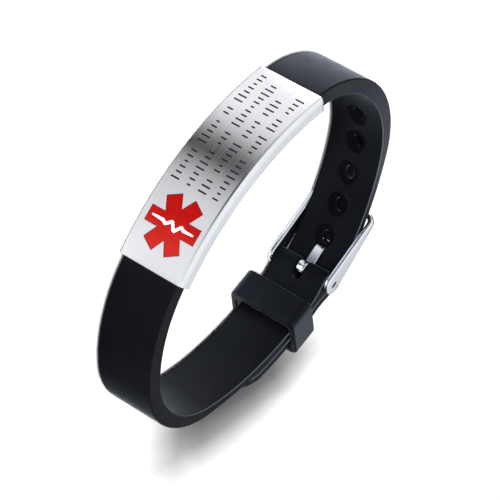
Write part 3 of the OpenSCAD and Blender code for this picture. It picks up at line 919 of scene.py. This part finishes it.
# ---- keeper
def keeper_piece():
    """Moulded band with softly rounded walls; its ends lean along the strap."""
    lean, half_w, half_h = math.tan(math.radians(KEEPER_LEAN)), KEEPER_W / 2, KEEPER_H / 2
    outer = box_ring(half_h, half_w, KEEPER_OUTER_R, 8)
    inner = box_ring(half_h - KEEPER_WALL, half_w - KEEPER_WALL, KEEPER_INNER_R, 8)
    start, share = KEEPER_EDGE - KEEPER_LEN / 2, KEEPER_EDGE / KEEPER_WALL
    turn = [math.radians(a) for a in range(0, 91, 15)]
    wall = [(start - KEEPER_EDGE * math.sin(a), share * (1 - math.cos(a))) for a in turn]
    wall += [(start - KEEPER_EDGE * math.cos(a), 1 - share * (1 - math.sin(a))) for a in turn]
    rings = []
    for (oy, oz), (iy, iz) in zip(outer, inner):
        ring = [(x, oy + (iy - oy) * k, oz + (iz - oz) * k) for x, k in wall]
        ring += [(-x, y, z) for x, y, z in reversed(ring)]
        rings.append(stand([(x + y * lean, y, z) for x, y, z in ring], KEEPER_C, KEEPER_ANGLE))
    keeper = solid("keeper_band", loft(rings, caps=False))
    return dress(keeper, KEEPER_RUBBER, "strap_rubber", "keeper")


keeper_piece()


# ---- buckle
# Where the arms' straight edges start, their edge radius, and the slots over the pin's tips with the black plugs that
# paint the shade at their bottoms
ARM_FROM, ARM_EDGE = 0.2, 0.4
SLOT_L, SLOT_W, SHADE_PLUG_L, SHADE_PLUG_W, SHADE_PLUG_HALF = 1.35, 0.62, 1.33, 0.6, 0.12


def arm_half(x):
    """Half height of the side arm, x from the hinge pin."""
    if x < ARM_FROM:
        return math.sqrt(max(0.0, HINGE_R**2 - x * x))
    slope = (HINGE_R - BAR_T / 2) / FRAME_REACH
    return (HINGE_R - x * slope) / math.sqrt(1 - slope * slope)


def frame_piece():
    """Bent steel frame: two tapering arms with round hinge ends and one cross bar."""
    stations = []
    for t in QUARTER:
        stations.append((-HINGE_R * math.cos(t), ARM_MID, (1, 0), HINGE_R * math.sin(t), ARM_T / 2, ARM_EDGE))
    centre_x, centre_z = FRAME_REACH - CORNER_LEN, ARM_MID - CORNER
    for x in np.linspace(ARM_FROM, centre_x, 30):
        stations.append((x, ARM_MID, (1, 0), arm_half(x), ARM_T / 2, ARM_EDGE))
    for k, t in enumerate(QUARTER, 1):
        x, z = centre_x + CORNER_LEN * math.sin(t), centre_z + CORNER * math.cos(t)
        share = k / len(QUARTER)
        half = arm_half(x) * (1 - share) + BAR_T / 2 * share
        stations.append((x, z, (math.cos(t), -math.sin(t)), half, ARM_T / 2 + 0.1 * share, ARM_EDGE + 0.1 * share))
    stations.append((FRAME_REACH, 0.0, (0, -1), BAR_T / 2, BAR_T / 2, 0.5))
    stations += [(x, -z, (-d[0], d[1]), a, b, r) for x, z, d, a, b, r in reversed(stations[:-1])]
    rings = []
    for x, z, d, half, flat, r in stations:
        rings.append([(x - b * d[1], a, z + b * d[0]) for a, b in box_ring(half, flat, r)])
    obj = solid("buckle_u_frame", at_pin(rings))
    slot = [[(x, y, z) for x, y in stadium(SLOT_L, SLOT_W)] for z in (-9, 9)]
    cut_from(obj, [solid("slot", at_pin(slot))])
    return dress(obj, BUCKLE_STEEL, "buckle_steel", "buckle_frame")


def pin_piece():
    """Hinge pin with flat tips that sit in the arms."""
    ends = [(-6, 0.6), (-5.9, 0.7), (-5.8, 0.75), (5.8, 0.75), (5.9, 0.7), (6, 0.6)]
    parts = [lathe(ends, PIN, (0, 0, 1), (1, 0, 0), 32)]
    reach = ARM_MID - 0.45
    levels = [(-reach, 0.9), (-reach + 0.06, 1.0), (reach - 0.06, 1.0), (reach, 0.9)]
    parts.append(at_pin([[(x * k, y * k, z) for x, y in stadium(1.0, 0.4)] for z, k in levels]))
    return dress(solid("pin_with_flat_tips", joined(parts)), BRIGHT_STEEL, "buckle_steel", "hinge_pin")


def slot_shadow_piece():
    """Black plugs at the bottoms of the slots over the pin's ends: painted shade."""
    parts = []
    for z in (ARM_MID + 0.3, -ARM_MID - 0.3):
        outline = stadium(SHADE_PLUG_L, SHADE_PLUG_W)
        parts.append(at_pin([[(x, y, z + d) for x, y in outline] for d in (-SHADE_PLUG_HALF, SHADE_PLUG_HALF)]))
    return dress(solid("pin_slot_painted_shade", joined(parts)), ENGRAVED_AND_SHADE_BLACK, None)


def tongue_piece():
    """Flat tongue whose end is curled round the pin."""
    mid_r = (RING_D + PIN_D + 2 * FIT) / 4
    wall = (RING_D - PIN_D - 2 * FIT) / 2
    turn, steps = 345, 44
    rings = []
    for k in range(steps + 1):
        t = math.radians(-90 - turn + turn * k / steps)
        n = side(math.degrees(t) + 90)
        ring = []
        for a, b in box_ring(wall / 2, TONGUE_W / 2, RING_EDGE):
            crown = RING_CROWN * (1 - (2 * b / TONGUE_W) ** 2) if a < 0 else 0
            ring.append((mid_r * math.cos(t) + (a - crown) * n[0], mid_r * math.sin(t) + (a - crown) * n[1], b))
        rings.append(ring)
    rings += tongue_rings(TONGUE_T / 2, TONGUE_W / 2, 0.2, 0.6)
    tongue = solid("tongue_curled", at_pin(rings))
    seam = [[(0.2 + a, -1.5 + b, z) for a, b in box_ring(0.11, 0.4, 0.1)] for z in (-2, 2)]
    cut_from(tongue, [solid("seam", at_pin(seam))])
    return dress(tongue, BRIGHT_STEEL, "buckle_steel", "tongue")


frame_piece()
pin_piece()
slot_shadow_piece()
tongue_piece()


# ---- stage, light and camera
FLOOR_HALF, FLOOR_Z, CARD_Z = 3000, -0.02, 0.02
# Brightness of the room where it fills shadows
FILL = 0.13


def stage_mesh(name, points, faces, colour):
    """Object of the stage, points in millimetres, in a plain colour without shine; with the nodes of its material."""
    material = bpy.data.materials.new(name)
    material.use_nodes = True
    settle(material.node_tree, {"Base Color": colour, "Roughness": 0.9, "Specular IOR Level": 0})
    mesh = bpy.data.meshes.new(name)
    mesh.from_pydata([tuple(c * MM for c in p) for p in points], [], faces)
    mesh.materials.append(material)
    return object_from(name, mesh), material.node_tree


def area_light(name, location, size, power):
    """Square lamp that shines at the middle of the floor and doesn't show in reflections."""
    data = bpy.data.lights.new(name, "AREA")
    data.shape, data.size, data.size_y, data.energy = "RECTANGLE", size, size, power
    lamp = bpy.data.objects.new(name, data)
    lamp.location = location
    lamp.rotation_mode = "QUATERNION"
    lamp.rotation_quaternion = (-Vector(location)).to_track_quat("-Z", "Y")
    lamp.visible_glossy = False
    scene.collection.objects.link(lamp)


corners = [(x * FLOOR_HALF, y * FLOOR_HALF, FLOOR_Z) for x, y in ((-1, -1), (1, -1), (1, 1), (-1, 1))]
stage_mesh("floor", corners, [(0, 1, 2, 3)], (0.9, 0.9, 0.9))[0]
area_light("key", (0.308, -1.16, 0.94), 0.25, 44)
area_light("top", (0, 0, 0.9), 1, 1.3)


# These brightnesses were tuned by comparing renders with the photo.
# Reflection of the studio in the plate's face: brightness at places along it, near, further off and at the horizon
FACE_SHADES = [
    (-21, 0.95), (-13, 0.95), (-10, 0.84), (-8, 0.66), (-6, 0.43), (-4, 0.22), (-2.5, 0.11), (-1.5, 0.075),
    (-0.5, 0.17), (0.5, 0.26), (1.5, 0.35), (3.5, 0.52), (6, 0.64), (10, 0.74), (13, 0.81), (17, 0.9), (21, 0.95),
]
FAR_BAND_SHADES = [
    (-21, 0.9), (-12, 0.9), (-8, 0.66), (-5.5, 0.3), (-4, 0.13), (-2.5, 0.03), (-1.5, 0.01), (-0.5, 0.11),
    (0.5, 0.27), (1.5, 0.4), (3.5, 0.55), (6, 0.7), (10, 0.78), (17, 0.87), (21, 0.9),
]
HORIZON_SHADES = [
    (-21, 0.9), (-10, 0.6), (-6, 0.34), (-3, 0.07), (0, 0.04), (3, 0.05),
    (6, 0.1), (8, 0.28), (10, 0.5), (14, 0.7), (21, 0.9),
]
# Brightness of the floor that the strap's outside reflects, by the length along its route
TAIL_SHADES = [(40, 0.5), (45, 1.4), (49, 1.5), (53, 2), (57, 3.3), (59.5, 3.6), (62, 2.2)]
BUCKLE_SHADES = [(46, 0.1), (54, 0.12), (62, 0.25), (75, 0.6)]
# Brightness of the floor inside the bracelet, by place along X
INSIDE_SHADES = [
    (-34, 0.05), (-20, 0.05), (-16, 0.8), (-8, 0.9), (-6.5, 0.1), (-3, 0.1), (-1, 1.2), (6, 1.4), (34, 1.5),
]
CARD_LIGHT = 1.15
PLATE_TINT, STRAP_TINT = (0.985, 0.99, 1.0), (0.92, 0.96, 1.1)
# How far the camera stands to one side, and where a card's middle and far parts start
VIEW_TURN, MIDDLE_FROM, FAR_FROM = math.radians(13.6), 10, 40


def at_shade(x, shades):
    return np.interp(x, *zip(*shades))


def graded_grid(name, rows, shades):
    """Black grid of stage points, its nodes, and one that reads the shade given for each point."""
    n = len(rows[0])
    faces = [
        (i * n + j, i * n + j + 1, (i + 1) * n + j + 1, (i + 1) * n + j)
        for i in range(len(rows) - 1)
        for j in range(n - 1)
    ]
    grid, tree = stage_mesh(name, [p for row in rows for p in row], faces, (0, 0, 0))
    values = [k for row in shades for k in row]
    grid.data.attributes.new("shade", "FLOAT", "POINT").data.foreach_set("value", values)
    shade = add(tree, "ShaderNodeAttribute", (-700, -200), attribute_name="shade")
    return grid, tree, shade.outputs["Fac"]


def glow_card(name, rows, shades, tint):
    """Stage card seen only in reflections, with a brightness for each of its points."""
    card, tree, shade = graded_grid(name, rows, shades)
    tinted = add(tree, "ShaderNodeVectorMath", (-400, -200), operation="MULTIPLY")
    tree.links.new(shade, tinted.inputs[0])
    tinted.inputs[1].default_value = tint
    settle(tree, {"Emission Color": tinted.outputs["Vector"], "Emission Strength": CARD_LIGHT})
    card.visible_camera = card.visible_diffuse = card.visible_shadow = False
    card.visible_transmission = card.visible_volume_scatter = False


LEVEL = [(r, CARD_Z) for r in (-1, 0.6, 5, 12, 28, 60)]


def swept_card(name, places, tint, reaches=LEVEL):
    """Card on the floor, its rows leading away as a mirror at each place would turn the camera's sight.

    places are (x, y, facing, brightness near, further and far).
    """
    rows, shades = [], []
    for x, y, facing_at, near, further, far in places:
        way = 2 * facing_at - VIEW_TURN
        foot = np.array([x, y]) + SHIFT[:2]
        rows.append([(foot[0] + r * math.sin(way), foot[1] - r * math.cos(way), rise) for r, rise in reaches])
        shades.append([near if r < MIDDLE_FROM else further if r < FAR_FROM else far for r, _ in reaches])
    glow_card(name, rows, shades, tint)


def outer_places(run, dist, thick, way, shades, start, fades):
    """Places of a card beside the strap's outside; fades are the shares of the shade near, further and far."""
    places = []
    for s in np.arange(start, dist[-1], 1.0):
        p = place_at(run, dist, s)
        out = way * side(p[2])
        q = np.array(p[:2]) + out * thick(s) / 2
        places.append((q[0], q[1], math.atan2(out[0], -out[1]), *(k * at_shade(s, shades) for k in fades)))
    return places


face = []
for u in np.arange(-22, 22.1, 0.5):
    near, angle = at_shade(u, FACE_SHADES), u / PLATE_R
    at_face = (PLATE_R * math.sin(angle), PLATE_R - PLATE_R * math.cos(angle), angle)
    face.append((*at_face, near, at_shade(u, FAR_BAND_SHADES), min(near, at_shade(u, HORIZON_SHADES))))
swept_card("card_before_plate", face, PLATE_TINT, LEVEL + [(120, CARD_Z), (400, CARD_Z), (400, 150)])
tail_places = outer_places(over_run, over_dist, over_t, -1, TAIL_SHADES, 40, (1, 0.85, 0.6))
swept_card("card_tail_side", tail_places, STRAP_TINT)
buckle_places = outer_places(buckle_run, buckle_dist, buckle_t, 1, BUCKLE_SHADES, 50, (0.4, 1, 1))
swept_card("card_buckle_side", buckle_places, STRAP_TINT)
across = np.linspace(-31, 33, 33)
inside_rows = [[(x + SHIFT[0], y + SHIFT[1], CARD_Z) for y in (16, 30, 44)] for x in across]
glow_card("card_inside", inside_rows, [[at_shade(x, INSIDE_SHADES)] * 3 for x in across], STRAP_TINT)


def shade_flag(name, rows, shades):
    """Flag that only casts shade, as dense as its points say."""
    flag, tree, shade = graded_grid(name, rows, shades)
    settle(tree, {"Alpha": shade})
    flag.visible_camera = flag.visible_glossy = False


# Shade on the floor seen through a hole: its middle, the direction of sight along the floor, and square to that
HOLE_VIEW, SIGHT, ACROSS = np.array([-29, 26.4]), np.array([-0.63, -0.77]), np.array([0.77, -0.63])
hole_rows = [[(*(HOLE_VIEW + u * SIGHT + v * ACROSS), 1) for v in (-9, -1.5, 1.5, 9)] for u in (-11, -2, 4, 13)]
shade_flag("hole_shade", hole_rows, [(0, 0, 0, 0), (0, 1, 1, 0), (0, 1, 1, 0), (0, 0, 0, 0)])

# Soft shade on the floor beside the lower part of the strap, its rows leading away from the strap
SOFT_SHIFT, SOFT_Z = (1.64, -6.17), 5
SOFT_ROWS = [
    ((31, 20), (37, 28), (41, 33), (45, 38)),
    ((26, 23), (28.3, 33.8), (31.5, 38.3), (37, 46)),
    ((21, 25), (23.5, 38.5), (26.4, 43), (30, 51)),
    ((15, 28), (17.5, 42.5), (19.2, 47.5), (21, 57)),
    ((9.5, 31), (12, 47), (13.6, 51), (13.5, 60)),
    ((4, 33), (6.5, 50.5), (7, 55), (5, 62)),
    ((-1, 35), (0.5, 53), (-0.5, 57), (-3, 62)),
    ((-8, 37), (-7, 54), (-8, 58), (-9, 62)),
]
SOFT_SHADES = [
    (0, 0, 0, 0), (0.9, 0.78, 0.62, 0.05), (1, 0.9, 0.78, 0.05), (1, 0.92, 0.78, 0),
    (1, 0.92, 0.76, 0), (1, 0.9, 0.68, 0), (0.9, 0.72, 0.45, 0), (0, 0, 0, 0),
]
soft_rows = [[(x + SOFT_SHIFT[0], y + SOFT_SHIFT[1], SOFT_Z) for x, y in row] for row in SOFT_ROWS]
shade_flag("soft_shade", soft_rows, SOFT_SHADES)


def studio_world():
    """Even white room: bright in reflections and behind the object, dimmer as the light that fills shadows."""
    world = bpy.data.worlds.new("studio")
    world.use_nodes = True
    tree = world.node_tree
    back = tree.nodes["Background"]
    back.inputs["Color"].default_value = (0.94, 0.965, 1, 1)
    path = add(tree, "ShaderNodeLightPath", (-600, 0))
    seen = math_of(tree, "MAXIMUM", path.outputs["Is Camera Ray"], path.outputs["Is Glossy Ray"], (-400, 0))
    coords = add(tree, "ShaderNodeTexCoord", (-1000, -200))
    height = split(tree, coords.outputs["Generated"], (-800, -200))["Z"]
    overhead = ranged(tree, height, 0.5, 0.75, 0.82, 1.0, (-600, -200))
    horizon = ranged(tree, height, 0.3, 0.42, 0.05, 1, (-600, -400))
    strength = math_of(tree, "ADD", product(tree, (-400, -200), overhead, horizon, seen), FILL, (0, 0))
    tree.links.new(strength, back.inputs["Strength"])
    return world


scene.world = studio_world()
scene.view_settings.view_transform = "Standard"

camera = bpy.data.objects.new("camera", bpy.data.cameras.new("camera"))
scene.collection.objects.link(camera)
scene.camera = camera
camera.data.lens, camera.data.sensor_width = 206.724, 36
camera.data.clip_start, camera.data.clip_end = 0.01, 20
# The camera's right, up and backward directions and its place, in metres
camera.matrix_world = Matrix(
    [
        [-0.58458125, -0.77976828, 0.22411202, 0.113453],
        [0.28430025, -0.45558584, -0.84357271, -0.423779],
        [0.7598935, -0.42942168, 0.48801526, 0.253629],
        [0, 0, 0, 1],
    ]
)
